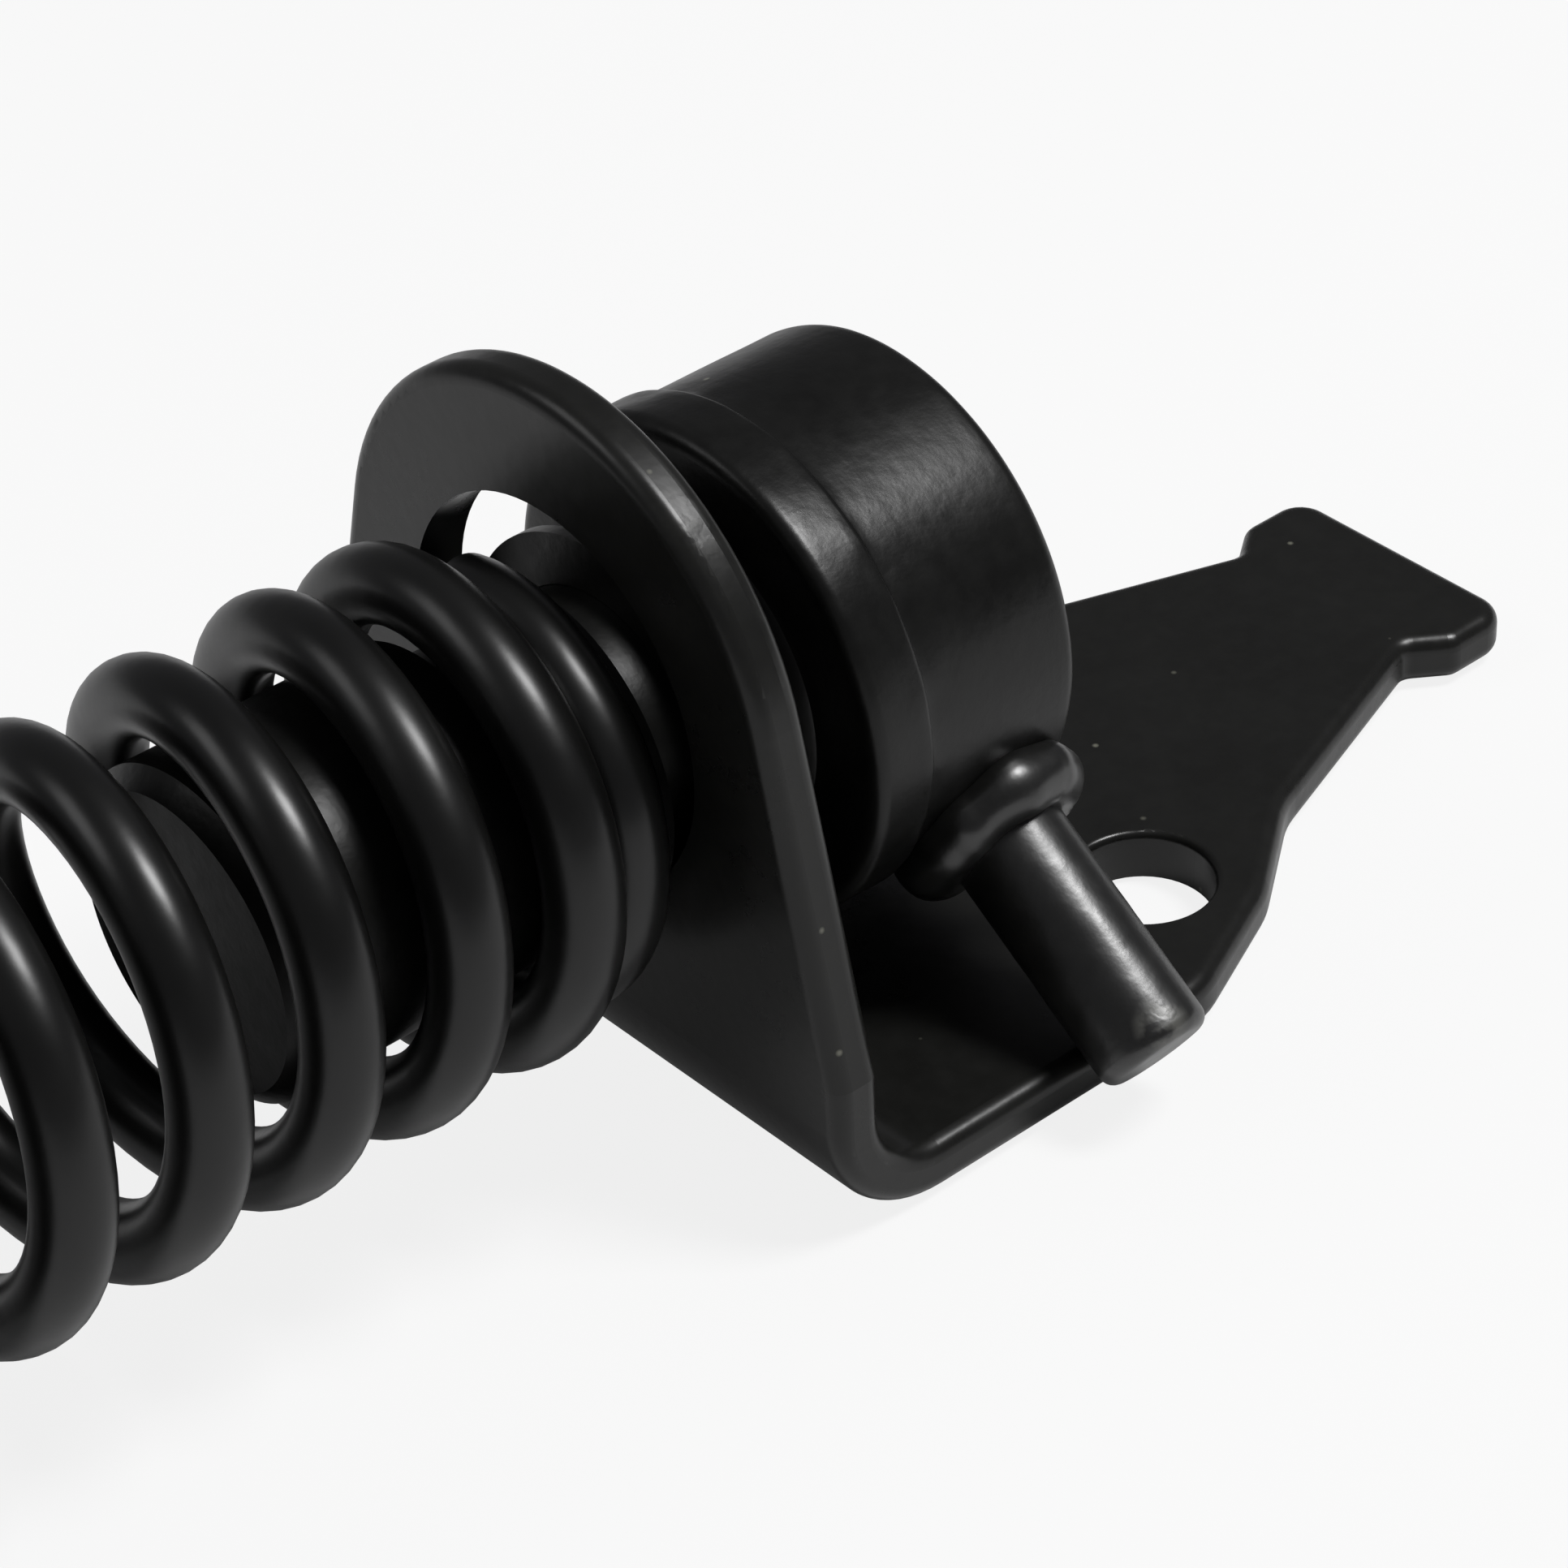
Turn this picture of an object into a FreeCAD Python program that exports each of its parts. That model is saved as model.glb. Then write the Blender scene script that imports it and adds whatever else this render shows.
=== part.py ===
import FreeCAD, Part
import math
import os

# Gate spring closer: a torsion spring between two stamped angle brackets.
# Millimetres. X runs along the spring from the adjuster end (-X) to the stop end (+X),
# Z is up from the screwed faces of the two plates, and the origin lies on those faces
# midway between the two ears.

V = FreeCAD.Vector

# Distance between the inner faces of the two ears
ear_span = 190.0

# Bracket: one stamped strip, bent square
plate_t = 3.6
plate_half_w = 25.0
plate_len = 76.6
bend_inner_r = 4.8
edge_round = 1.2
shoulder_x = 31.5
shoulder_r = 7.0
knee_x = 41.5
knee_half_w = 20.5
knee_r = 9.0
elbow_x = 49.5
elbow_half_w = 14.6
elbow_r = 9.0
waist_to_end = 8.6
waist_half_w = 8.1
waist_r = 1.2
tail_len = 5.7
tail_half_w = 10.2
tail_step_r = 1.6
tail_corner_r = 2.4

# Ear: round top on flared flanks, with an oversize hole that the journal rests in
ear_r = 20.0
ear_arc_z = 30.5
ear_foot_z = 12.0
ear_hole_r = 13.1
ear_hole_z = 29.3

# Screw holes in the plate
screw_hole_d = 9.5
screw_rim_round = 0.5
screw_x = 36.3
screw_y = 14.3

# Hub: sleeve inside the coils, journal from the sleeve through the ear, spigot in the barrel
journal_r = 9.0
journal_bare = 8.6
sleeve_r = 11.0
sleeve_len = 18.8
sleeve_chamfer = 1.2
journal_clearance = 0.06
centre_drill_r = 2.0
centre_drill_depth = 3.0

# Thrust washers on both sides of the ear
inner_washer_t = 0.6
inner_washer_r = 11.2
outer_washer_t = 1.0
outer_washer_r = 12.5
washer_clearance = 0.05
washer_face_gap = 0.15

# Barrel: cup with a boss towards the ear
boss_r = 11.5
barrel_x = 11.0
barrel_r = 16.6
barrel_len = 17.3
barrel_wall = 3.4
barrel_floor = 5.0
barrel_rim_r = 1.1
lip_r = 17.1
lip_len = 4.7
lip_round = 0.45
spigot_end_gap = 1.0
spigot_clearance = 0.02

# Pressed cap in the mouth of the barrel
cap_t = 0.8
cap_recess = 0.4
cap_seat = 0.5
cap_clearance = 0.02
cap_chamfer = 0.25
cap_dimple_r = 6.0
cap_dimple_depth = 0.3

# Roll pin through boss and hub
roll_pin_d = 4.0
roll_pin_wall = 0.8
roll_pin_slot = 0.9
roll_pin_clearance = 0.01
roll_pin_recess = 0.5

# Stop pin, welded radially into the barrel, and its bead
pin_d = 7.8
pin_from_rim = 5.5
pin_reach = 35.6
pin_rest_gap = 0.15
pin_tip_round = 1.0
pin_seat_clearance = 0.02
bead_major = 5.1
bead_minor = 2.4
bead_out = 0.4

# Tension pin, pushed into one of the ring of holes in the other barrel
tension_holes = 8
tension_pin_clearance = 0.1
tension_pin_root = 11.6
tension_pin_chamfer = 0.9

# Torsion spring, left-handed, with a tighter closed turn wound down to the hub at each end
wire_r = 2.5
coil_r = 14.2
end_turn_clearance = 0.1
spring_end_gap = 0.1
closed_pitch = 4.65
whole_turns = 21
end_lead_deg = 17.0
closed_turns_from = 1.0
closed_turns_to = 1.8
tight_turns = 1.0
points_per_turn = 16

# Bead that joins the spring's end to the journal
spring_bead_r = 1.45
spring_bead_start_deg = -21.0
spring_bead_span_deg = 60.0

# Length by which a cutting solid runs past the face it cuts, and the slack of edge tests
over = 1.0
near = 1e-3

# Values that follow from the sizes above
bend_outer_r = bend_inner_r + plate_t
axis_z = ear_hole_z - ear_hole_r + journal_r + journal_clearance
inner_washer_x = -washer_face_gap - inner_washer_t
sleeve_x = inner_washer_x - journal_bare
outer_washer_x = plate_t + washer_face_gap
boss_x = outer_washer_x + outer_washer_t
barrel_end_x = barrel_x + barrel_len
barrel_bore_r = barrel_r - barrel_wall
pin_x = barrel_end_x - pin_from_rim
pin_r = pin_d / 2.0
roll_pin_x = (boss_x + barrel_x) / 2.0
end_coil_r = journal_r + end_turn_clearance + wire_r
wire_end_x = ear_span / 2.0 + inner_washer_x - spring_end_gap - wire_r
end_lead = math.radians(end_lead_deg)
turns = whole_turns + 2.0 * end_lead / (2.0 * math.pi)
closed_turns = (closed_turns_from + closed_turns_to) / 2.0
open_pitch = closed_pitch + (2.0 * wire_end_x - closed_pitch * turns) / (turns - 2.0 * closed_turns)

# The pin lies on the rounded top edge of the plate, which sets its angle below level
edge_y = plate_half_w - edge_round
edge_z = axis_z - plate_t + edge_round
pin_angle = math.atan2(edge_z, edge_y) - math.asin(
    (pin_r + edge_round + pin_rest_gap) / math.hypot(edge_y, edge_z))

X_DIR = V(1, 0, 0)
Y_DIR = V(0, 1, 0)
Z_DIR = V(0, 0, 1)


def rounded_outline(corners):
    """Closed wire through (point, radius) corners, each rounded by a tangent arc."""
    edges = []
    ends = []
    count = len(corners)
    for i in range(count):
        before, point, after = corners[i - 1][0], corners[i][0], corners[(i + 1) % count][0]
        radius = corners[i][1]
        if radius <= 0:
            ends.append((point, point, None))
            continue
        back = (before - point).normalize()
        ahead = (after - point).normalize()
        half = back.getAngle(ahead) / 2.0
        setback = radius / math.tan(half)
        start = point + back * setback
        stop = point + ahead * setback
        middle_dir = (back + ahead).normalize()
        middle = point + middle_dir * (radius / math.sin(half) - radius)
        ends.append((start, stop, middle))
    for i in range(count):
        start, stop, middle = ends[i]
        if middle is not None:
            edges.append(Part.Arc(start, middle, stop).toShape())
        following = ends[(i + 1) % count][0]
        if (following - stop).Length > near:
            edges.append(Part.LineSegment(stop, following).toShape())
    return Part.Wire(edges)


def cylinder_x(radius, x_from, x_to):
    """Cylinder on the spring's axis between two stations along it."""
    return Part.makeCylinder(radius, x_to - x_from, V(x_from, 0, axis_z), X_DIR)


def ring_x(outer, inner, x_from, x_to):
    return cylinder_x(outer, x_from, x_to).cut(cylinder_x(inner, x_from - over, x_to + over))


def round_edges(shape, radius, wanted):
    """Fillet the edges that the test picks."""
    picked = [edge for edge in shape.Edges if wanted(edge)]
    return shape.makeFillet(radius, picked)


def is_circle_at(edge, radius, x):
    """True for a full circle about the spring's axis at one station."""
    if not isinstance(edge.Curve, Part.Circle):
        return False
    box = edge.BoundBox
    return (abs(edge.Curve.Radius - radius) < near and abs(box.XMin - x) < near
            and abs(box.XMax - x) < near)


# The shapes below are drawn for the stop end with x = 0 on the ear's inner face


def bracket_profile():
    """Side view of the bent strip, pulled across more than its full width."""
    top = ear_arc_z + ear_r + over
    reach = plate_half_w + over
    y = -reach
    s = math.sqrt(0.5)
    outer_mid = V(bend_outer_r * (1 - s), y, bend_outer_r * (1 - s))
    inner_mid = V(bend_outer_r - bend_inner_r * s, y, bend_outer_r - bend_inner_r * s)
    edges = [
        Part.LineSegment(V(0, y, top), V(0, y, bend_outer_r)).toShape(),
        Part.Arc(V(0, y, bend_outer_r), outer_mid, V(bend_outer_r, y, 0)).toShape(),
        Part.LineSegment(V(bend_outer_r, y, 0), V(plate_len, y, 0)).toShape(),
        Part.LineSegment(V(plate_len, y, 0), V(plate_len, y, plate_t)).toShape(),
        Part.LineSegment(V(plate_len, y, plate_t), V(bend_outer_r, y, plate_t)).toShape(),
        Part.Arc(V(bend_outer_r, y, plate_t), inner_mid, V(plate_t, y, bend_outer_r)).toShape(),
        Part.LineSegment(V(plate_t, y, bend_outer_r), V(plate_t, y, top)).toShape(),
        Part.LineSegment(V(plate_t, y, top), V(0, y, top)).toShape(),
    ]
    return Part.Face(Part.Wire(edges)).extrude(V(0, 2.0 * reach, 0))


def ear_outline():
    """Ear seen along the spring: arc, straight flared flanks, then the plate's width."""
    dy = plate_half_w
    dz = ear_foot_z - ear_arc_z
    distance = math.hypot(dy, dz)
    to_foot = math.atan2(dz, dy)
    touch = to_foot + math.acos(ear_r / distance)
    y_t = ear_r * math.cos(touch)
    z_t = ear_arc_z + ear_r * math.sin(touch)
    edges = [
        Part.Arc(V(0, y_t, z_t), V(0, 0, ear_arc_z + ear_r), V(0, -y_t, z_t)).toShape(),
        Part.LineSegment(V(0, -y_t, z_t), V(0, -plate_half_w, ear_foot_z)).toShape(),
        Part.LineSegment(V(0, -plate_half_w, ear_foot_z), V(0, -plate_half_w, 0)).toShape(),
        Part.LineSegment(V(0, -plate_half_w, 0), V(0, plate_half_w, 0)).toShape(),
        Part.LineSegment(V(0, plate_half_w, 0), V(0, plate_half_w, ear_foot_z)).toShape(),
        Part.LineSegment(V(0, plate_half_w, ear_foot_z), V(0, y_t, z_t)).toShape(),
    ]
    return Part.Wire(edges)


def plate_outline():
    """Plate seen from above: full width, shoulders, long taper, small flared tail."""
    half = [
        (bend_outer_r, plate_half_w, 0.0),
        (shoulder_x, plate_half_w, shoulder_r),
        (knee_x, knee_half_w, knee_r),
        (elbow_x, elbow_half_w, elbow_r),
        (plate_len - waist_to_end, waist_half_w, waist_r),
        (plate_len - tail_len, tail_half_w, tail_step_r),
        (plate_len, tail_half_w, tail_corner_r),
    ]
    corners = [(V(x, -y, 0), r) for x, y, r in half]
    corners += [(V(x, y, 0), r) for x, y, r in reversed(half)]
    return rounded_outline(corners)


def bracket():
    ear = Part.Face(ear_outline()).extrude(V(bend_outer_r, 0, 0))
    plate = Part.Face(plate_outline()).extrude(V(0, 0, plate_t))
    body = bracket_profile().common(ear.fuse(plate)).removeSplitter()
    body = body.cut(Part.makeCylinder(ear_hole_r, 3.0 * plate_t,
                                      V(-plate_t, 0, ear_hole_z), X_DIR))
    for side in (-1, 1):
        body = body.cut(Part.makeCylinder(screw_hole_d / 2.0, 3.0 * plate_t,
                                          V(screw_x, side * screw_y, -plate_t), Z_DIR))

    def is_screw_rim(edge):
        return isinstance(edge.Curve, Part.Circle) and abs(
            edge.Curve.Radius - screw_hole_d / 2.0) < near

    def on_outline(edge):
        """Edges of the blank's two faces, without those of its holes."""
        box = edge.BoundBox
        if isinstance(edge.Curve, Part.Circle):
            if abs(edge.Curve.Radius - ear_hole_r) < near or is_screw_rim(edge):
                return False
        across_bend = box.YMax - box.YMin > 2.0 * plate_half_w - over and box.XMax < shoulder_x
        through_plate = box.ZMax - box.ZMin > plate_t - near and box.XMax - box.XMin < near
        through_ear = box.XMax - box.XMin > plate_t - near and box.ZMax - box.ZMin < near
        in_plate = box.XMin > bend_outer_r - near
        in_ear = box.XMax < bend_outer_r + near
        return not (across_bend or (through_plate and in_plate) or (through_ear and in_ear))

    body = round_edges(body, edge_round, on_outline)
    return round_edges(body, screw_rim_round,
                       lambda e: is_screw_rim(e) and e.BoundBox.ZMin > plate_t / 2.0)


def hub():
    sleeve_from = sleeve_x - sleeve_len
    spigot_to = barrel_x + barrel_floor - spigot_end_gap
    body = cylinder_x(sleeve_r, sleeve_from, sleeve_x)
    body = body.makeChamfer(sleeve_chamfer,
                            [e for e in body.Edges if is_circle_at(e, sleeve_r, sleeve_from)])
    body = body.fuse(cylinder_x(journal_r, sleeve_x - over, spigot_to))
    body = body.cut(Part.makeCone(centre_drill_r, 0, centre_drill_depth,
                                  V(sleeve_from, 0, axis_z), X_DIR))
    body = body.cut(Part.makeCone(centre_drill_r, 0, centre_drill_depth,
                                  V(spigot_to, 0, axis_z), V(-1, 0, 0)))
    body = body.cut(roll_pin_hole())
    return body.removeSplitter()


def roll_pin_hole():
    radius = roll_pin_d / 2.0 + roll_pin_clearance
    return Part.makeCylinder(radius, 4.0 * boss_r,
                             V(roll_pin_x, 0, axis_z) - pin_line() * (2.0 * boss_r), pin_line())


def roll_pin():
    line = pin_line()
    length = 2.0 * (boss_r - roll_pin_recess)
    base = V(roll_pin_x, 0, axis_z) - line * (length / 2.0)
    body = Part.makeCylinder(roll_pin_d / 2.0, length, base, line)
    body = body.cut(Part.makeCylinder(roll_pin_d / 2.0 - roll_pin_wall, length, base, line))
    slot = Part.makeBox(roll_pin_d, roll_pin_slot, length + 2.0 * over,
                        V(0, -roll_pin_slot / 2.0, -over))
    slot.Placement = FreeCAD.Placement(base, FreeCAD.Rotation(X_DIR, Y_DIR, line, "ZXY"))
    return body.cut(slot)


def inner_washer():
    return ring_x(inner_washer_r, journal_r + washer_clearance,
                  inner_washer_x, inner_washer_x + inner_washer_t)


def outer_washer():
    return ring_x(outer_washer_r, journal_r + washer_clearance,
                  outer_washer_x, outer_washer_x + outer_washer_t)


def pin_line():
    """Direction of the stop pin, out from the axis and down on the -Y side."""
    return V(0, -math.cos(pin_angle), -math.sin(pin_angle))


def barrel():
    cap_from = barrel_end_x - cap_recess - cap_t
    body = cylinder_x(barrel_r, barrel_x, barrel_end_x)
    body = round_edges(body, barrel_rim_r, lambda e: is_circle_at(e, barrel_r, barrel_end_x))
    lip = cylinder_x(lip_r, barrel_x, barrel_x + lip_len)
    lip = round_edges(lip, barrel_rim_r, lambda e: is_circle_at(e, lip_r, barrel_x))
    lip = round_edges(lip, lip_round, lambda e: is_circle_at(e, lip_r, barrel_x + lip_len))
    body = body.cut(cylinder_x(lip_r + over, barrel_x - over, barrel_x + lip_len - over))
    body = body.fuse(lip)
    body = body.fuse(cylinder_x(boss_r, boss_x, barrel_x + over))
    body = body.cut(cylinder_x(journal_r + spigot_clearance, boss_x - over, barrel_end_x))
    body = body.cut(cylinder_x(barrel_bore_r, barrel_x + barrel_floor, barrel_end_x + over))
    body = body.cut(cylinder_x(barrel_bore_r + cap_seat, cap_from, barrel_end_x + over))
    return body.cut(roll_pin_hole()).removeSplitter()


def stop_barrel():
    hole = Part.makeCylinder(pin_r + pin_seat_clearance, 2.0 * barrel_r,
                             V(pin_x, 0, axis_z), pin_line())
    return barrel().cut(hole)


def adjuster_barrel():
    body = barrel()
    radius = pin_r + tension_pin_clearance
    for i in range(tension_holes):
        line = FreeCAD.Rotation(X_DIR, 360.0 * i / tension_holes).multVec(pin_line())
        body = body.cut(Part.makeCylinder(radius, 2.0 * barrel_r, V(pin_x, 0, axis_z), line))
    return body


def end_cap():
    seat = barrel_end_x - cap_recess - cap_t
    radius = barrel_bore_r + cap_seat - cap_clearance
    body = cylinder_x(radius, seat, seat + cap_t)
    body = body.makeChamfer(cap_chamfer,
                            [e for e in body.Edges if is_circle_at(e, radius, seat + cap_t)])
    return body.cut(Part.makeCone(cap_dimple_r - cap_dimple_depth, cap_dimple_r, cap_dimple_depth,
                                  V(seat + cap_t - cap_dimple_depth, 0, axis_z), X_DIR))


def pin_rod(root):
    """Round rod along the pin line, with its outer end rounded over."""
    axis = V(pin_x, 0, axis_z)
    body = Part.makeCylinder(pin_r, pin_reach - root, axis + pin_line() * root, pin_line())
    tip = axis + pin_line() * pin_reach
    return round_edges(body, pin_tip_round,
                       lambda e: isinstance(e.Curve, Part.Circle)
                       and (e.Curve.Center - tip).Length < near)


def stop_pin():
    return pin_rod(barrel_bore_r).cut(cylinder_x(barrel_bore_r, barrel_x, barrel_end_x))


def stop_pin_weld():
    centre = V(pin_x, 0, axis_z) + pin_line() * (barrel_r + bead_out)
    bead = Part.makeTorus(bead_major, bead_minor, centre, pin_line())
    bead = bead.cut(cylinder_x(barrel_r, barrel_x, barrel_end_x + bead_major))
    bead = bead.cut(cylinder_x(lip_r, barrel_x, barrel_x + lip_len))
    return bead.cut(Part.makeCylinder(pin_r, 2.0 * bead_minor + barrel_r,
                                      V(pin_x, 0, axis_z), pin_line()))


def tension_pin():
    root = V(pin_x, 0, axis_z) + pin_line() * tension_pin_root
    body = pin_rod(tension_pin_root)
    return body.makeChamfer(tension_pin_chamfer,
                            [e for e in body.Edges if isinstance(e.Curve, Part.Circle)
                             and (e.Curve.Center - root).Length < near])


def station(turn):
    """Place of the wire along X: closed turns at both ends, open turns between."""
    if turn > turns / 2.0:
        return -station(turns - turn)
    if turn <= closed_turns_from:
        opened = 0.0
    elif turn < closed_turns_to:
        opened = (turn - closed_turns_from) ** 2 / (2.0 * (closed_turns_to - closed_turns_from))
    else:
        opened = turn - closed_turns
    return wire_end_x - closed_pitch * turn - (open_pitch - closed_pitch) * opened


def winding_r(turn):
    """Radius of the wire's centre line: it closes in on the hub over the turn at each end."""
    share = min(turn, turns - turn, tight_turns) / tight_turns
    return end_coil_r + (coil_r - end_coil_r) * share


def coil_point(turn):
    """Point of the wire's centre line, counted in turns from the stop end."""
    a = 2.0 * math.pi * turn - end_lead
    r = winding_r(turn)
    return V(station(turn), -r * math.sin(a), axis_z + r * math.cos(a))


def torsion_spring():
    count = int(turns * points_per_turn)
    points = [coil_point(turns * i / count) for i in range(count + 1)]
    line = Part.BSplineCurve()
    line.interpolate(points)
    spine = Part.Wire([line.toShape()])
    start = line.value(line.FirstParameter)
    heading = line.tangent(line.FirstParameter)[0]
    section = Part.Wire([Part.Circle(start, heading, wire_r).toShape()])
    sweep = Part.BRepOffsetAPI.MakePipeShell(spine)
    sweep.setFrenetMode(True)
    sweep.add(section)
    sweep.build()
    sweep.makeSolid()
    return sweep.shape()


def spring_weld(spring):
    """Short bead on the journal, along the far side of the first turn."""
    axis = V(wire_end_x - wire_r - ear_span / 2.0, 0, axis_z)
    centre = axis + V(0, 0, journal_r + spring_bead_r / 2.0)
    section = Part.Face(Part.Wire([Part.Circle(centre, Y_DIR, spring_bead_r).toShape()]))
    section.rotate(axis, X_DIR, spring_bead_start_deg)
    bead = section.revolve(axis, X_DIR, spring_bead_span_deg)
    bead = bead.cut(cylinder_x(journal_r, sleeve_x, inner_washer_x))
    return bead.cut(spring.translated(V(-ear_span / 2.0, 0, 0)))


def at_stop_end(shape):
    return shape.translated(V(ear_span / 2.0, 0, 0))


def at_adjuster_end(shape):
    placed = shape.copy()
    placed.rotate(V(0, 0, 0), Z_DIR, 180.0)
    return placed.translated(V(-ear_span / 2.0, 0, 0))


os.makedirs("parts", exist_ok=True)

spring = torsion_spring()
weld = spring_weld(spring)
shared = {
    "bracket": bracket(),
    "hub": hub(),
    "roll_pin": roll_pin(),
    "inner_washer": inner_washer(),
    "outer_washer": outer_washer(),
    "end_cap": end_cap(),
    "spring_weld": weld,
}
parts = {"torsion_spring": spring}
for name, shape in shared.items():
    parts["stop_" + name] = at_stop_end(shape)
    parts["adjuster_" + name] = at_adjuster_end(shape)
parts["stop_barrel"] = at_stop_end(stop_barrel())
parts["stop_pin"] = at_stop_end(stop_pin())
parts["stop_pin_weld"] = at_stop_end(stop_pin_weld())
parts["adjuster_barrel"] = at_adjuster_end(adjuster_barrel())
parts["tension_pin"] = at_adjuster_end(tension_pin())

for name, shape in parts.items():
    shape.exportStep("parts/" + name + ".step")
    box = shape.BoundBox
    print(name, len(shape.Solids), shape.isValid(), round(shape.Volume, 1),
          [round(v, 2) for v in (box.XMin, box.YMin, box.ZMin, box.XMax, box.YMax, box.ZMax)])
print("pin angle below level", round(math.degrees(pin_angle), 2), "open pitch", round(open_pitch, 3))
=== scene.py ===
import math

import bmesh
import bpy
from mathutils import Matrix, Vector, noise


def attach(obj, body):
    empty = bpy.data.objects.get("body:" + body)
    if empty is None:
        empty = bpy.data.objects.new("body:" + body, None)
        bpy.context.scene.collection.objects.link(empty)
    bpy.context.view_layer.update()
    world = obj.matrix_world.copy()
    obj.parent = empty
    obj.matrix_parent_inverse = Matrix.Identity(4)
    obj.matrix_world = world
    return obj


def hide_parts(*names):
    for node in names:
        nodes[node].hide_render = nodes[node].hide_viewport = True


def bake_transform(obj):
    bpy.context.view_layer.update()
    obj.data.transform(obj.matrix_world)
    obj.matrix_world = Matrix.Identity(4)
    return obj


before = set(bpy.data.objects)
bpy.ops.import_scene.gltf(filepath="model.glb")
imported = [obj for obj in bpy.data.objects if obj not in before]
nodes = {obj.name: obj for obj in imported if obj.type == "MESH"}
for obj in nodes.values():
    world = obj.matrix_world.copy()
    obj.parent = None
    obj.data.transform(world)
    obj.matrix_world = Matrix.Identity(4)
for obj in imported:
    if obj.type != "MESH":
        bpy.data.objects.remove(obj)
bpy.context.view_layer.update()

scene = bpy.context.scene

# The camera stands where the photographer stood: in front of the coil and above it, looking
# down towards the stop end, with a long lens.

VIEW_AZIMUTH = math.radians(-40.211)
VIEW_ELEVATION = math.radians(36.213)
VIEW_ROLL = math.radians(-2.525)
VIEW_POINT = Vector((-0.0619, -0.2069, 0.2114))
LENS_MM = 120.26

view_back = Vector((math.sin(VIEW_AZIMUTH) * math.cos(VIEW_ELEVATION),
                    -math.cos(VIEW_AZIMUTH) * math.cos(VIEW_ELEVATION),
                    math.sin(VIEW_ELEVATION)))
level_right = Vector((math.cos(VIEW_AZIMUTH), math.sin(VIEW_AZIMUTH), 0.0))
level_up = view_back.cross(level_right)
view_right = level_right * math.cos(VIEW_ROLL) + level_up * math.sin(VIEW_ROLL)
view_up = level_up * math.cos(VIEW_ROLL) - level_right * math.sin(VIEW_ROLL)
camera_data = bpy.data.cameras.new("photo_camera")
camera_data.lens = LENS_MM
camera_data.sensor_width = 36.0
camera_data.clip_start = 0.02
camera_data.clip_end = 20.0
camera = bpy.data.objects.new("photo_camera", camera_data)
camera.matrix_world = Matrix.Translation(VIEW_POINT) @ Matrix(
    (view_right, view_up, view_back)).transposed().to_4x4()
scene.collection.objects.link(camera)
scene.camera = camera


# Shader maths in the finishes below is written as plain expressions on this class: adding or
# multiplying two tones adds the matching node to the finish.

class Tone:
    """A value, colour or vector in a finish."""

    def __init__(self, tree, socket=None):
        self.tree = tree
        self.socket = socket

    def node(self, kind, settings=None, sockets=None, out=0):
        """Add a node: its settings first, then the values or links of its sockets."""
        made = self.tree.nodes.new("ShaderNode" + kind)
        for key, value in (settings or {}).items():
            if key == "stops":
                ramp = made.color_ramp.elements
                while len(ramp) < len(value):
                    ramp.new(0.5)
                for element, (place, level) in zip(ramp, value):
                    element.position = place
                    element.color = (level, level, level, 1.0)
            else:
                setattr(made, key, value)
        for key, value in (sockets or {}).items():
            if isinstance(value, Tone):
                self.tree.links.new(value.socket, made.inputs[key])
            else:
                made.inputs[key].default_value = value
        return Tone(self.tree, made.outputs[out])

    def maths(self, operation, first, second):
        return self.node("Math", {"operation": operation}, {0: first, 1: second})

    def __add__(self, other):
        return self.maths("ADD", self, other)

    def __radd__(self, other):
        return self.maths("ADD", other, self)

    def __mul__(self, other):
        return self.maths("MULTIPLY", self, other)

    def __rmul__(self, other):
        return self.maths("MULTIPLY", other, self)

    def __truediv__(self, other):
        return self.maths("DIVIDE", self, other)

    def ramp(self, *stops):
        """Reshape the value with (place, level) stops."""
        return self.node("ValToRGB", {"stops": stops}, {"Fac": self})

    def blend(self, low, high):
        """Mix two colours by this value."""
        return self.node("Mix", {"data_type": "RGBA"}, {0: self, 6: low, 7: high}, out=2)

    def grain(self, size, detail=2.0, rough=0.5, stretch=None):
        """Noise with features of about this size in metres, on object coordinates."""
        place = self.node("TexCoord", out="Object")
        if stretch:
            place = self.node("VectorMath", {"operation": "MULTIPLY"}, {0: place, 1: stretch})
        return self.node("TexNoise", {}, {"Vector": place, "Scale": 1.0 / size,
                                          "Detail": detail, "Roughness": rough})


def new_finish(name):
    """Empty material, its principled shader and a Tone to start expressions from."""
    finish = bpy.data.materials.new(name)
    finish.use_nodes = True
    shader = finish.node_tree.nodes["Principled BSDF"]
    return finish, shader, Tone(finish.node_tree)


def feed(shader, **inputs):
    """Set or link the shader's sockets, named with underscores."""
    for key, value in inputs.items():
        socket = shader.inputs[key.replace("_", " ")]
        if isinstance(value, Tone):
            value.tree.links.new(value.socket, socket)
        else:
            socket.default_value = value


# Plain white table under the closer in a dim room, with one soft lamp high on the right that
# gives each coil its highlight, and a weak wide one on the left that fills the ear's face.

FLOOR_HALF = 12.0
FLOOR_DROP = 0.0004
TABLE_WHITE = (0.8, 0.8, 0.8, 1.0)
GLOW_WHITE = (1.0, 1.0, 1.0, 1.0)
CAMERA_SHARE = 0.85
GLOSSY_SHARE = 0.1
TRANSMISSION_SHARE = 0.75
SURROUND = (0.11, 0.11, 0.115, 1.0)
LOOK_AT = Vector((0.08, 0.0, 0.02))

floor_mesh = bpy.data.meshes.new("table_top")
floor_mesh.from_pydata([(x * FLOOR_HALF, y * FLOOR_HALF, -FLOOR_DROP)
                        for x, y in ((-1, -1), (1, -1), (1, 1), (-1, 1))], [], [(0, 1, 2, 3)])
floor = bpy.data.objects.new("table_top", floor_mesh)
scene.collection.objects.link(floor)

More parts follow.
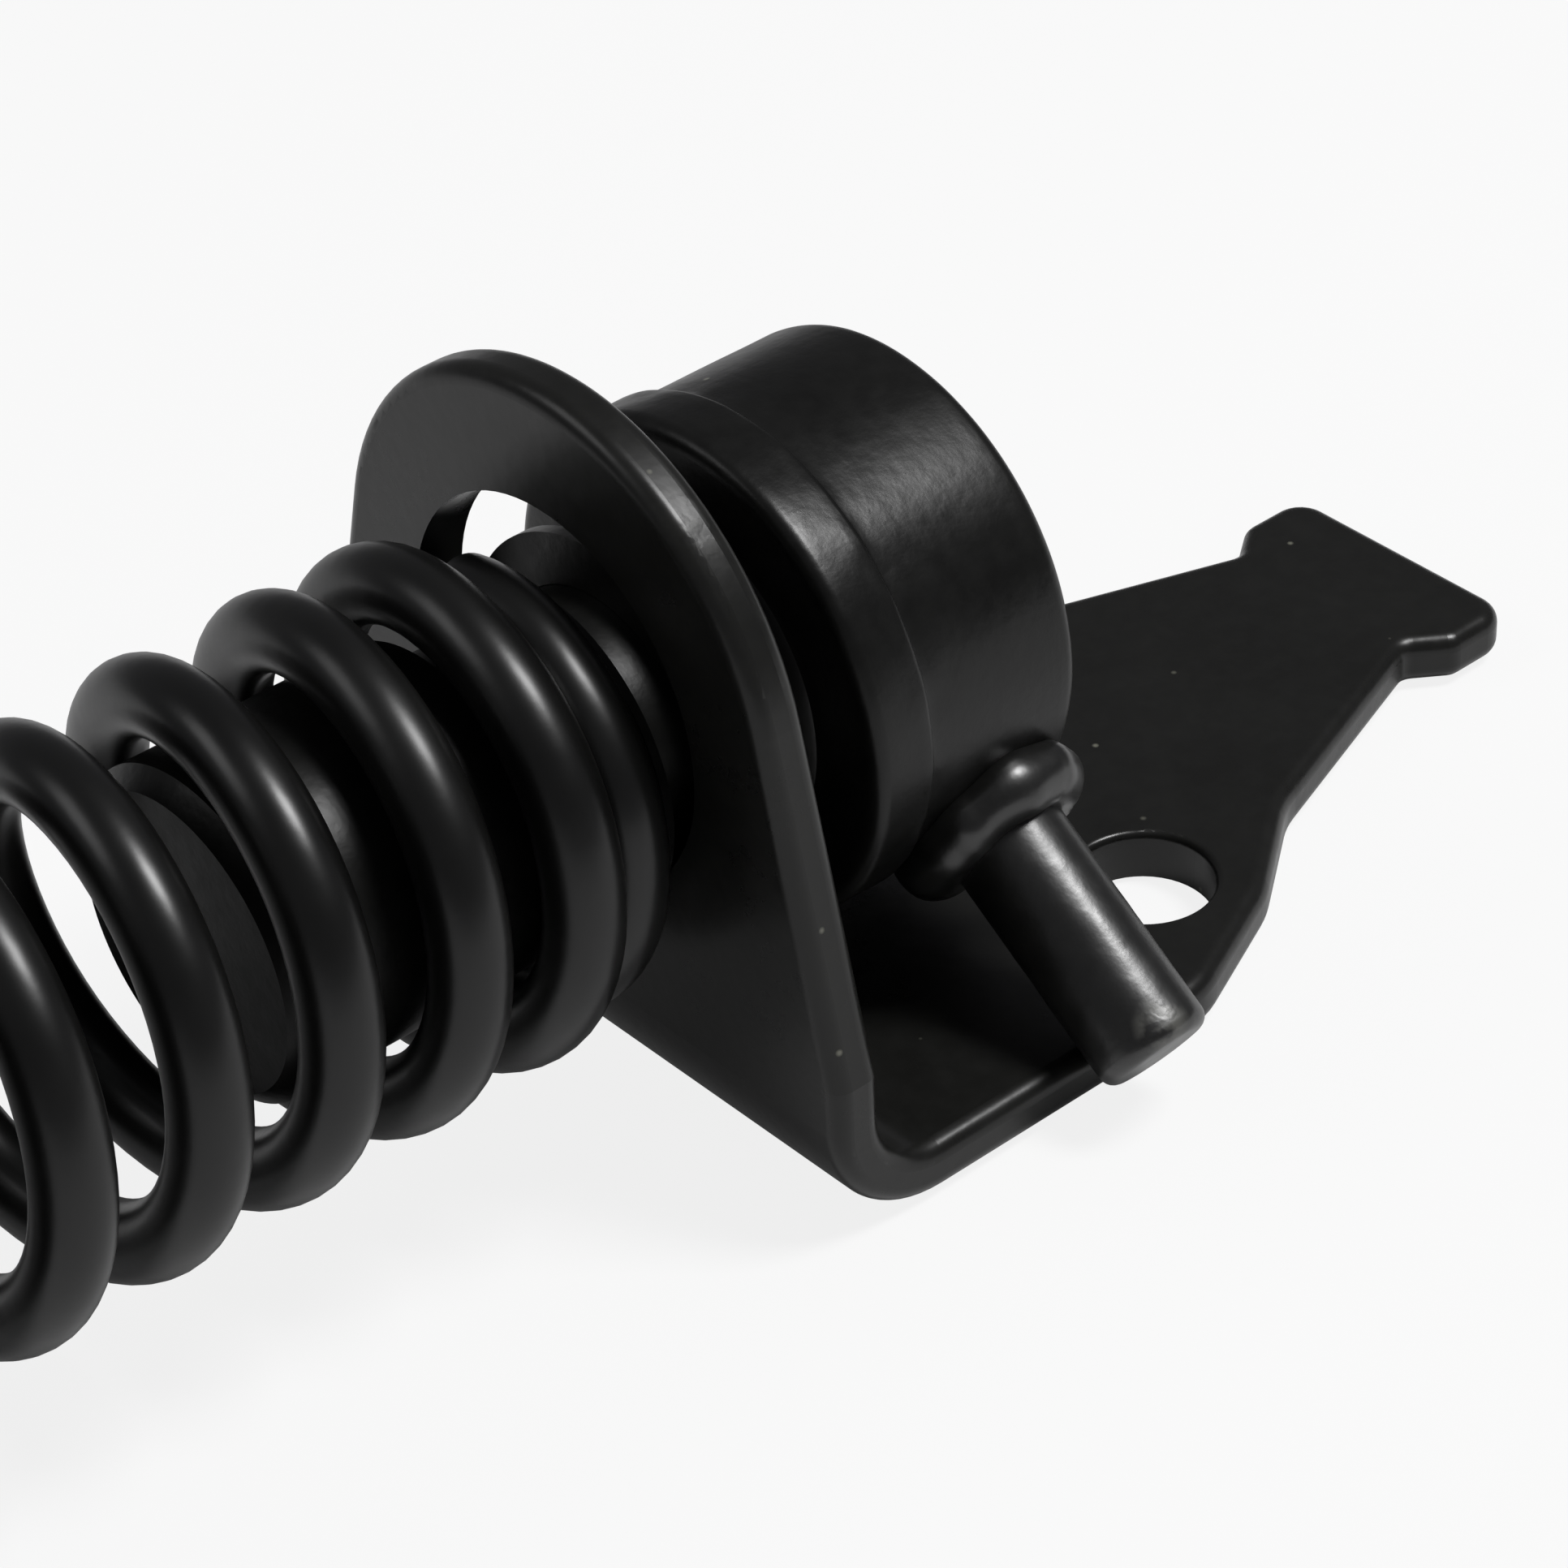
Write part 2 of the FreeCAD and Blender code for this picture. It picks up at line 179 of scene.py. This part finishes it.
floor_finish, floor_shader, floor_tone = new_finish("white_table")
feed(floor_shader, Base_Color=TABLE_WHITE, Roughness=0.9)
seen = (floor_tone.node("LightPath", out="Is Camera Ray") * CAMERA_SHARE
        + floor_tone.node("LightPath", out="Is Glossy Ray") * GLOSSY_SHARE
        + floor_tone.node("LightPath", out="Is Transmission Ray") * TRANSMISSION_SHARE)
white = floor_tone.node("Emission", {}, {"Color": GLOW_WHITE, "Strength": 1.0})
floor_mix = floor_tone.node("MixShader", {}, {
    0: seen, 1: Tone(floor_finish.node_tree, floor_shader.outputs[0]), 2: white})
floor_finish.node_tree.links.new(
    floor_mix.socket, floor_finish.node_tree.nodes["Material Output"].inputs["Surface"])
floor_mesh.materials.append(floor_finish)

world = bpy.data.worlds.new("dim_room")
scene.world = world
world.use_nodes = True
world.node_tree.nodes["Background"].inputs["Color"].default_value = SURROUND


def soft_lamp(name, azimuth, elevation, distance, size, power):
    """Lamp that looks at the closer from a direction given as a camera's would be."""
    lamp = bpy.data.lights.new(name, "AREA")
    lamp.shape = "RECTANGLE"
    lamp.size, lamp.size_y = size
    lamp.energy = power
    a, e = math.radians(azimuth), math.radians(elevation)
    back = Vector((math.sin(a) * math.cos(e), -math.cos(a) * math.cos(e), math.sin(e)))
    obj = bpy.data.objects.new(name, lamp)
    obj.matrix_world = (Matrix.Translation(LOOK_AT + back * distance)
                        @ back.to_track_quat("Z", "Y").to_matrix().to_4x4())
    scene.collection.objects.link(obj)


soft_lamp("window", azimuth=48.6, elevation=61.3, distance=0.9, size=(0.22, 0.3), power=6.0)
soft_lamp("left_fill", azimuth=-125, elevation=42, distance=1.1, size=(0.6, 0.4), power=1.4)
scene.view_settings.view_transform = "Standard"


# The two brackets: 3.6 mm steel strip, blanked, punched and bent square, then powder coated
# satin black. The coat has a fine orange peel, pale specks and one rough spot on each ear's rim.

CLOUD_SIZE = 0.011
CLOUD_STEP = ((0.3, 0.0), (0.7, 1.0))
FINE_SIZE = 0.0014
FINE_STEP = ((0.35, 0.0), (0.65, 1.0))
GRIT_SIZE = 0.00026
RING_STRETCH = (1.6, 0.12, 0.12)
COAT_DARK = 0.0036
COAT_PALE = 0.0068
COAT_BLUE = 0.92
COAT_SPECK = (0.16, 0.16, 0.13, 1)
COAT_SCAR_AND_HIGHLIGHT = (0.3, 0.3, 0.27, 1)
SPECK_CELLS = 300.0
BRACKET_SCARS = {"stop": (0.0968, -0.0125, 0.0465), "adjuster": (-0.098, -0.006, 0.05)}


def powder_coat(name, gloss, peel_mm=1.1, peel_mm_deep=0.045, speck_share=0.1, turned=0.0,
                lift=0.0, shine=0.5, grit=0.2, scar_and_highlight=None, scar_size=0.002, scar_and_highlight_pale=0.3,
                scar_deep=0.5):
    """Satin black powder coat with orange peel, cloudy gloss and pale specks.

    It may also have a finer grit, turning marks under it, and one rough scar at a place,
    painted paler there; on the stop pin that pale patch is a painted highlight.
    """
    finish, shader, tone = new_finish(name)
    cloud = tone.grain(CLOUD_SIZE, 3.0).ramp(*CLOUD_STEP)
    fine = tone.grain(FINE_SIZE, 3.0).ramp(*FINE_STEP)
    place = tone.node("TexCoord", out="Object")
    cell = {"Vector": place, "Scale": SPECK_CELLS}
    near_speck = tone.node("TexVoronoi", {"feature": "F1"}, cell, out="Distance")
    cell_colour = tone.node("TexVoronoi", {}, cell, out="Color")
    chance = tone.node("SeparateColor", {}, {0: cell_colour}, out=0)
    speck = (near_speck.ramp((0.03, 1.0), (0.08, 0.0))
             * chance.ramp((1.0 - speck_share, 0.0), (1.0 - speck_share * 0.8, 1.0)))
    low = COAT_DARK + lift
    high = COAT_PALE + lift
    black = (cloud * 0.6 + fine * 0.4).blend((low, low, low * COAT_BLUE, 1),
                                             (high, high, high * COAT_BLUE, 1))
    black = speck.blend(black, COAT_SPECK)
    height = tone.grain(peel_mm / 1000, 2.0, 0.45) * 0.8
    if grit:
        height = height + tone.grain(GRIT_SIZE, 2.0, 0.6) * grit
    if scar_and_highlight:
        away = tone.node("VectorMath", {"operation": "DISTANCE"}, {0: place, 1: scar_and_highlight}, out=1)
        patch = ((away / scar_size).ramp((0.5, 1.0), (1.0, 0.0))
                 * tone.grain(0.0012, 2.0, 0.5).ramp((0.38, 0.0), (0.55, 1.0)))
        # Pale patch at the scar place: a faint pale rough spot on the ear rims, a painted
        # highlight on the stop pin's tip.
        black = (patch * scar_and_highlight_pale).blend(black, COAT_SCAR_AND_HIGHLIGHT)
        height = height + patch * scar_deep
    if turned:
        rings = tone.grain(0.001, 2.0, 0.5, stretch=RING_STRETCH)
        height = height + rings * turned
    bump = tone.node("Bump", {}, {"Strength": 0.6, "Distance": peel_mm_deep / 1000,
                                  "Height": height})
    feed(shader, Base_Color=black, Roughness=cloud * 0.06 + fine * 0.04 + (gloss - 0.05),
         Normal=bump, Specular_IOR_Level=shine)
    return finish


def dress(node, finish):
    """Give a CAD node its finish."""
    mesh = nodes[node].data
    mesh.materials.clear()
    mesh.materials.append(finish)


for end, scar_and_highlight in BRACKET_SCARS.items():
    dress(end + "_bracket", powder_coat(
        end + "_bracket_powder_coat", gloss=0.3, lift=0.005, peel_mm_deep=0.03, shine=0.4,
        grit=0.0, speck_share=0.3, scar_and_highlight=scar_and_highlight, scar_size=0.003, scar_and_highlight_pale=0.01))


# The torsion spring: 5 mm spring wire wound left-handed, with a tighter closed turn at each end
# that is wound down to the journal and sawn off square. It is smoother than the pressed parts.

EAR_X = 0.095
AXIS_Z = 0.02526
WIRE_R = 0.0025
COIL_R = 0.0142
END_COIL_R = 0.0116
WIRE_END_X = 0.09165
CLOSED_PITCH = 0.00465
CLOSED_FROM = 1.0
CLOSED_TO = 1.8
TIGHT_TURNS = 1.0
END_LEAD = math.radians(17.0)
TURNS = 21 + 2 * END_LEAD / math.tau
WIRE_STEPS = 64
WIRE_SIDES = 40
WIRE_END_BREAK = 0.00035
WIRE_WAVE = 0.00002
WIRE_DARK = (0.0032, 0.0032, 0.0031, 1)
WIRE_PALE = (0.006, 0.006, 0.0057, 1)
NIB_PALE = (0.05, 0.05, 0.045, 1)
NIB_CELLS = 260.0
CREASE = math.radians(40.0)
MID_CLOSED = (CLOSED_FROM + CLOSED_TO) / 2
OPENING = (2 * WIRE_END_X - CLOSED_PITCH * TURNS) / (TURNS - 2 * MID_CLOSED)


def grid_piece(name, rows, finish, loop=False, caps=False):
    """Mesh over closed rows of points: loop joins the last to the first, caps close both ends."""
    mesh = bpy.data.meshes.new(name)
    count, width = len(rows), len(rows[0])
    faces = []
    for i in range(count if loop else count - 1):
        for j in range(width):
            k = (j + 1) % width
            n = (i + 1) % count
            faces.append((i * width + j, i * width + k, n * width + k, n * width + j))
    if caps:
        faces.append(tuple(reversed(range(width))))
        faces.append(tuple(range((count - 1) * width, count * width)))
    mesh.from_pydata([p for row in rows for p in row], [], faces)
    shell = bmesh.new()
    shell.from_mesh(mesh)
    bmesh.ops.recalc_face_normals(shell, faces=shell.faces)
    shell.to_mesh(mesh)
    shell.free()
    mesh.shade_smooth()
    mesh.set_sharp_from_angle(angle=CREASE)
    mesh.materials.append(finish)
    piece = bpy.data.objects.new(name, mesh)
    scene.collection.objects.link(piece)
    return piece


def wire_x(turn):
    """Place of the wire along X, counted in turns from the stop end."""
    if turn > TURNS / 2:
        return -wire_x(TURNS - turn)
    if turn <= CLOSED_FROM:
        opened = 0.0
    elif turn < CLOSED_TO:
        opened = (turn - CLOSED_FROM) ** 2 / (2 * (CLOSED_TO - CLOSED_FROM))
    else:
        opened = turn - MID_CLOSED
    return WIRE_END_X - CLOSED_PITCH * turn - OPENING * opened


def wire_point(turn):
    """Middle of the wire, this many turns from its sawn end at the stop."""
    a = math.tau * turn - END_LEAD
    share = min(turn, TURNS - turn, TIGHT_TURNS) / TIGHT_TURNS
    r = END_COIL_R + (COIL_R - END_COIL_R) * share
    return Vector((wire_x(turn), -r * math.sin(a), AXIS_Z + r * math.cos(a)))


def wire_rows():
    """Rings of points along the wire, with the sawn ends' edges broken."""
    rows = []
    total = int(TURNS * WIRE_STEPS)
    step = TURNS / total
    edge = WIRE_END_BREAK
    run = COIL_R * math.tau
    stations = [(0.0, WIRE_R - edge), (edge / run * 0.5, WIRE_R - edge * 0.3),
                (edge / run, WIRE_R)]
    stations += [(i * step, WIRE_R) for i in range(1, total)]
    stations += [(TURNS - t, r) for t, r in reversed(stations[:3])]
    for turn, radius in stations:
        centre = wire_point(turn)
        ahead = (wire_point(turn + 0.001) - wire_point(turn - 0.001)).normalized()
        out = (centre - Vector((centre.x, 0.0, AXIS_Z))).normalized()
        side = ahead.cross(out).normalized()
        out = side.cross(ahead)
        row = []
        for j in range(WIRE_SIDES):
            a = math.tau * j / WIRE_SIDES
            spoke = out * math.cos(a) + side * math.sin(a)
            place = centre + spoke * radius
            row.append(place + spoke * (noise.noise(place * 160.0) * WIRE_WAVE))
        rows.append(row)
    return rows


def wire_coat(name):
    """Smooth satin black coat on drawn wire, with a faint orange peel and a few nibs."""
    finish, shader, tone = new_finish(name)
    cloud = tone.grain(0.009, 3.0).ramp(*CLOUD_STEP)
    place = tone.node("TexCoord", out="Object")
    cell = {"Vector": place, "Scale": NIB_CELLS}
    near_nib = tone.node("TexVoronoi", {"feature": "F1"}, cell, out="Distance")
    cell_colour = tone.node("TexVoronoi", {}, cell, out="Color")
    chance = tone.node("SeparateColor", {}, {0: cell_colour}, out=0)
    nib = near_nib.ramp((0.02, 1.0), (0.1, 0.0)) * chance.ramp((0.93, 0.0), (0.95, 1.0))
    black = (nib * 0.7).blend(cloud.blend(WIRE_DARK, WIRE_PALE), NIB_PALE)
    height = tone.grain(0.0016, 2.0, 0.4) * 0.7 + tone.grain(0.0003, 2.0, 0.6) * 0.1 + nib * 0.5
    bump = tone.node("Bump", {}, {"Strength": 0.45, "Distance": 0.00004, "Height": height})
    feed(shader, Base_Color=black, Roughness=cloud * 0.07 + 0.29, Normal=bump)
    return finish


spring = grid_piece("torsion_spring_wire", wire_rows(), wire_coat("spring_wire_coat"),
                    caps=True)
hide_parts("torsion_spring")
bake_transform(spring)


# The hubs: a turned sleeve inside the coils, with a thinner journal that the end turn is welded
# to and that runs through the ear. The thrust washers and roll pins have the same coat.

hub_coat = powder_coat("hub_powder_coat", gloss=0.36, peel_mm=0.8, turned=0.35, shine=0.3)
for end in ("stop", "adjuster"):
    for part in ("hub", "roll_pin", "inner_washer", "outer_washer"):
        dress(end + "_" + part, hub_coat)


# The barrels: turned cups with a raised band towards the ear, pinned to the journal and closed
# by a pressed cap. The thick coat has run into soft waves round the band and the rim. Places
# along X count from the ear's inner face.

BARREL_SIDES = 256
BARREL_X = 0.011
BARREL_END = 0.0283
BARREL_R = 0.0166
BAND_R = 0.0171
BAND_END = 0.0157
BOSS_X = 0.00475
BOSS_R = 0.0115
BORE_R = 0.00902
CUP_R = 0.0132
CUP_X = 0.016
SEAT_R = 0.0137
SEAT_X = 0.0271
RIM_ROUND = 0.0011
BAND_ROUND = 0.00045
BAND_FOOT = 0.00025
BOSS_FOOT = 0.0004
MOUTH_BREAK = 0.0003
PROFILE_PITCH = 0.0006
COAT_WAVE = 0.00004
FINE_WAVE = 0.00001
BAND_WAVE = 0.00009
BAND_WAVE_REACH = 0.0016


def rounded_corner(x, r, radius, start, steps=6):
    """Points of a quarter round about (x, r), clockwise from an angle in degrees."""
    angles = [math.radians(start - 90.0 * i / steps) for i in range(steps + 1)]
    return [(x + radius * math.cos(a), r + radius * math.sin(a)) for a in angles]


def even(points, pitch):
    """Add points so that no step of the profile is longer than pitch."""
    filled = []
    for (x0, r0), (x1, r1) in zip(points, points[1:]):
        parts = max(1, int(math.hypot(x1 - x0, r1 - r0) / pitch))
        filled += [(x0 + (x1 - x0) * i / parts, r0 + (r1 - r0) * i / parts)
                   for i in range(parts)]
    return filled + [points[-1]]


def barrel_profile():
    """The cup's section, from the boss round the outside to the mouth and back to the bore."""
    profile = [(BOSS_X, BORE_R), (BOSS_X, BOSS_R), (BARREL_X - BOSS_FOOT, BOSS_R)]
    profile += [(BARREL_X - BOSS_FOOT / 4, BOSS_R + BOSS_FOOT / 4)]
    profile += [(BARREL_X, BOSS_R + BOSS_FOOT)]
    profile += rounded_corner(BARREL_X + RIM_ROUND, BAND_R - RIM_ROUND, RIM_ROUND, 180.0)
    profile += rounded_corner(BAND_END - BAND_ROUND, BAND_R - BAND_ROUND, BAND_ROUND, 90.0, 4)
    profile += [(BAND_END + BAND_FOOT, BARREL_R)]
    profile += rounded_corner(BARREL_END - RIM_ROUND, BARREL_R - RIM_ROUND, RIM_ROUND, 90.0)
    profile += [(BARREL_END, SEAT_R + MOUTH_BREAK), (BARREL_END - MOUTH_BREAK, SEAT_R)]
    profile += [(SEAT_X, SEAT_R), (SEAT_X, CUP_R), (CUP_X, CUP_R), (CUP_X, BORE_R)]
    return even(profile, PROFILE_PITCH)


def barrel_rows(seed):
    """The profile turned about the axis, with the coat's waves on its outside."""
    rows = []
    for x, r in barrel_profile():
        row = []
        outside = r > SEAT_R + 0.0004 and x >= BARREL_X
        near_band = math.exp(-((x - BAND_END) / BAND_WAVE_REACH) ** 2)
        for j in range(BARREL_SIDES):
            a = math.tau * j / BARREL_SIDES
            lift = 0.0
            if outside:
                spot = Vector((x * 170.0, 3.4 * math.cos(a), 3.4 * math.sin(a) + seed))
                lift = noise.noise(spot) * COAT_WAVE
                spot = Vector((x * 420.0, 7.0 * math.cos(a), 7.0 * math.sin(a) - seed))
                lift += noise.noise(spot) * (FINE_WAVE + BAND_WAVE * near_band)
            row.append(Vector((x, -(r + lift) * math.sin(a), (r + lift) * math.cos(a))))
        rows.append(row)
    return rows


def at_end(rows, end):
    """Place points drawn from the ear's inner face at an end, turned round for the adjuster."""
    turn = 1.0 if end == "stop" else -1.0
    return [[Vector((turn * (EAR_X + p.x), turn * p.y, AXIS_Z + p.z)) for p in row]
            for row in rows]


barrel_coat = powder_coat("barrel_powder_coat", gloss=0.34, peel_mm=0.9, turned=0.25,
                          shine=0.36)
barrels = {}
for end, seed in (("stop", 3.0), ("adjuster", 11.0)):
    barrels[end] = grid_piece(end + "_barrel_cup", at_end(barrel_rows(seed), end), barrel_coat,
                              loop=True)
    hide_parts(end + "_barrel")
    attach(barrels[end], end + "_barrel_unit")
    dress(end + "_end_cap", barrel_coat)


# Holes for the tension pin: eight drilled radially through the wall of the adjuster barrel,
# evenly round it, and countersunk by a touch.

PIN_X = 0.0228
PIN_R = 0.0039
PIN_FALL = math.radians(34.69)
PIN_SIDES = 48
HOLE_R = 0.004
HOLES = 8
HOLE_START = 0.012
SINK_DEEP = 0.0003
SINK_CLEAR = 0.0012
HOLE_CREASE = math.radians(35.0)


def pin_rows(stations, wave=0.0, seed=0.0, fall=PIN_FALL):
    """Round rod along the pin's line: (distance from the axis, radius) stations."""
    line = Vector((0.0, -math.cos(fall), -math.sin(fall)))
    across = Vector((1.0, 0.0, 0.0))
    up = across.cross(line)
    rows = []
    for reach, radius in stations:
        row = []
        for j in range(PIN_SIDES):
            a = math.tau * j / PIN_SIDES
            spoke = across * math.cos(a) + up * math.sin(a)
            place = Vector((PIN_X, 0.0, 0.0)) + line * reach + spoke * radius
            place += spoke * (noise.noise(place * 700.0 + Vector((seed, 0, 0))) * wave)
            row.append(place)
        rows.append(row)
    return rows


def drill(piece, rows):
    """Cut a rod of points out of a piece and drop the cutter."""
    cutter = grid_piece("cutter", rows, piece.data.materials[0], caps=True)
    cut = piece.modifiers.new("cut", "BOOLEAN")
    cut.operation = "DIFFERENCE"
    cut.solver = "EXACT"
    cut.object = cutter
    made = bpy.data.meshes.new_from_object(
        piece.evaluated_get(bpy.context.evaluated_depsgraph_get()))
    piece.modifiers.clear()
    piece.data = made
    bpy.data.objects.remove(cutter)


rod = [(HOLE_START, HOLE_R), (BARREL_R - SINK_DEEP, HOLE_R),
       (BARREL_R + SINK_CLEAR, HOLE_R + SINK_DEEP + SINK_CLEAR)]
for i in range(HOLES):
    rod_rows = pin_rows(rod, fall=PIN_FALL + math.tau * i / HOLES)
    drill(barrels["adjuster"], at_end(rod_rows, "adjuster"))
barrels["adjuster"].data.shade_smooth()
barrels["adjuster"].data.set_sharp_from_angle(angle=HOLE_CREASE)


# The stop pin, cut from round bar and welded into the barrel, and the loose tension pin of
# the same bar. On top of the stop pin near its tip the coat has a shallow dent, with a pale
# painted highlight over it.

PIN_REACH = 0.0356
TIP_ROUND = 0.001
STOP_PIN_ROOT = 0.0134
TENSION_PIN_ROOT = 0.0116
ROOT_ROUND = 0.0009
PIN_WAVE = 0.00003
TIP_HIGHLIGHT_REACH = 0.0345


def pin_stations(root, root_round):
    """Stations from the root to the rounded tip and in to the middle of its face."""
    body = [(root, PIN_R - root_round), (root + root_round, PIN_R)]
    length = PIN_REACH - TIP_ROUND - root - root_round
    body += [(root + root_round + length * i / 30, PIN_R) for i in range(1, 30)]
    tip = [(PIN_REACH - TIP_ROUND + TIP_ROUND * math.sin(math.radians(15.0 * i)),
            PIN_R - TIP_ROUND + TIP_ROUND * math.cos(math.radians(15.0 * i))) for i in range(7)]
    face = [(PIN_REACH, (PIN_R - TIP_ROUND) * share) for share in (0.75, 0.5, 0.25, 0.06)]
    return body + tip + face


# The pale patch on top of the stop pin near its tip is a painted highlight, over a shallow dent
# in the coat.
tip_highlight_and_dent = Vector((EAR_X + PIN_X - 0.001, -math.cos(PIN_FALL) * TIP_HIGHLIGHT_REACH,
               AXIS_Z - math.sin(PIN_FALL) * TIP_HIGHLIGHT_REACH))
tip_highlight_and_dent += Vector((0.0, -math.sin(PIN_FALL), math.cos(PIN_FALL))) * PIN_R
stop_pin_coat = powder_coat("stop_pin_powder_coat", gloss=0.35, peel_mm=0.8, peel_mm_deep=0.035,
                            shine=1.0, speck_share=0.2, scar_and_highlight=tuple(tip_highlight_and_dent), scar_size=0.0021,
                            scar_deep=-0.8)
stop_pin_rows = pin_rows(pin_stations(STOP_PIN_ROOT, 0.0), PIN_WAVE, 2.0)
stop_pin = grid_piece("stop_pin_rod", at_end(stop_pin_rows, "stop"), stop_pin_coat, caps=True)
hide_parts("stop_pin")
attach(stop_pin, "stop_barrel_unit")
tension_pin_coat = powder_coat("tension_pin_powder_coat", gloss=0.35, peel_mm=0.8, shine=1.0)
tension_pin_rows = pin_rows(pin_stations(TENSION_PIN_ROOT, ROOT_ROUND), PIN_WAVE, 7.0)
tension_pin = grid_piece("tension_pin_rod", at_end(tension_pin_rows, "adjuster"),
                         tension_pin_coat, caps=True)
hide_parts("tension_pin")
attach(tension_pin, "tension_pin")


# Weld beads, laid by hand and coated over: a fat ring round the stop pin, with one smooth swell
# towards the spring, and a short run beside each end turn where it is tacked to the journal.

BEAD_MAJOR = 0.0045
BEAD_MINOR = 0.0024
BEAD_OUT = 0.0009
BEAD_STEPS = 180
BEAD_SIDES = 36
SWELL_AT = math.radians(125.0)
BEAD_RIPPLE = 0.00009
BEAD_SHIFT = 0.0003
BEAD_SAG = 0.7
WELD_DARK = (0.0036, 0.0036, 0.0034, 1)
WELD_PALE = (0.008, 0.008, 0.0074, 1)
SPRING_BEAD_R = 0.00145
SPRING_BEAD_FROM = math.radians(-21.0)
SPRING_BEAD_SPAN = math.radians(60.0)
SPRING_BEAD_STEPS = 60
SPRING_BEAD_SIDES = 24
SPRING_BEAD_RIPPLE = 0.0001
JOURNAL_R = 0.009


def weld_finish(name):
    """Coat over a weld: cloudy gloss, with fine ripples left by the puddle."""
    finish, shader, tone = new_finish(name)
    cloud = tone.grain(0.004, 3.0).ramp(*CLOUD_STEP)
    fine = tone.grain(0.0007, 3.0).ramp(*FINE_STEP)
    black = (cloud * 0.5 + fine * 0.5).blend(WELD_DARK, WELD_PALE)
    height = tone.grain(0.0009, 3.0, 0.5)
    bump = tone.node("Bump", {}, {"Strength": 0.7, "Distance": 0.00003, "Height": height})
    feed(shader, Base_Color=black, Roughness=cloud * 0.08 + 0.27, Normal=bump,
         Specular_IOR_Level=0.9)
    return finish


def pin_bead_rows():
    """Ring of weld round the stop pin, with low swells and one large one."""
    line = Vector((0.0, -math.cos(PIN_FALL), -math.sin(PIN_FALL)))
    across = Vector((1.0, 0.0, 0.0))
    up = across.cross(line)
    centre = Vector((PIN_X, 0.0, 0.0)) + line * (BARREL_R + BEAD_OUT)
    rows = []
    for i in range(BEAD_STEPS):
        a = math.tau * i / BEAD_STEPS
        spoke = across * math.cos(a) + up * math.sin(a)
        swell = abs(math.sin(a * 2.5 + 0.7 * math.sin(a + 0.6)))
        big = max(0.0, math.cos(a - SWELL_AT)) ** 3
        size = BEAD_MINOR * (0.86 + 0.07 * swell + 0.2 * big + 0.05 * noise.noise(spoke * 1.7))
        shift = BEAD_SHIFT * noise.noise(spoke * 2.3)
        drop = BARREL_R - math.sqrt(BARREL_R ** 2 - (BEAD_MAJOR * math.sin(a)) ** 2)
        sag = -line * drop * BEAD_SAG
        row = []
        for j in range(BEAD_SIDES):
            b = math.tau * j / BEAD_SIDES
            arm = spoke * math.cos(b) + line * math.sin(b)
            place = centre + sag + spoke * (BEAD_MAJOR + shift) + arm * size
            row.append(place + arm * (noise.noise(place * 500.0) * BEAD_RIPPLE))
        rows.append(row)
    return rows


weld_coat = weld_finish("weld_powder_coat")
pin_bead = grid_piece("stop_pin_bead", at_end(pin_bead_rows(), "stop"), weld_coat, loop=True)
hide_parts("stop_pin_weld")
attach(pin_bead, "stop_barrel_unit")


def spring_bead_rows(seed):
    """Run of weld on the journal beside the end turn, tapered at both ends."""
    rows = []
    for i in range(SPRING_BEAD_STEPS + 1):
        share = i / SPRING_BEAD_STEPS
        a = SPRING_BEAD_FROM + SPRING_BEAD_SPAN * share
        out = Vector((0.0, -math.sin(a), math.cos(a)))
        along = Vector((1.0, 0.0, 0.0))
        taper = max(0.08, min(1.0, 7.0 * share, 7.0 * (1.0 - share))) ** 0.5
        swell = 0.86 + 0.14 * abs(math.sin(share * 14.0 + seed))
        size = SPRING_BEAD_R * taper * swell
        centre = Vector((WIRE_END_X - WIRE_R - EAR_X, 0.0, 0.0))
        centre += out * (JOURNAL_R + SPRING_BEAD_R * 0.5)
        row = []
        for j in range(SPRING_BEAD_SIDES):
            b = math.tau * j / SPRING_BEAD_SIDES
            arm = out * math.cos(b) + along * math.sin(b)
            place = centre + arm * size
            row.append(place + arm * (noise.noise(place * 1200.0) * SPRING_BEAD_RIPPLE))
        rows.append(row)
    return rows


for end, seed in (("stop", 0.3), ("adjuster", 1.7)):
    bead = grid_piece(end + "_spring_bead", at_end(spring_bead_rows(seed), end), weld_coat,
                      caps=True)
    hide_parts(end + "_spring_weld")
    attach(bead, end + "_barrel_unit")
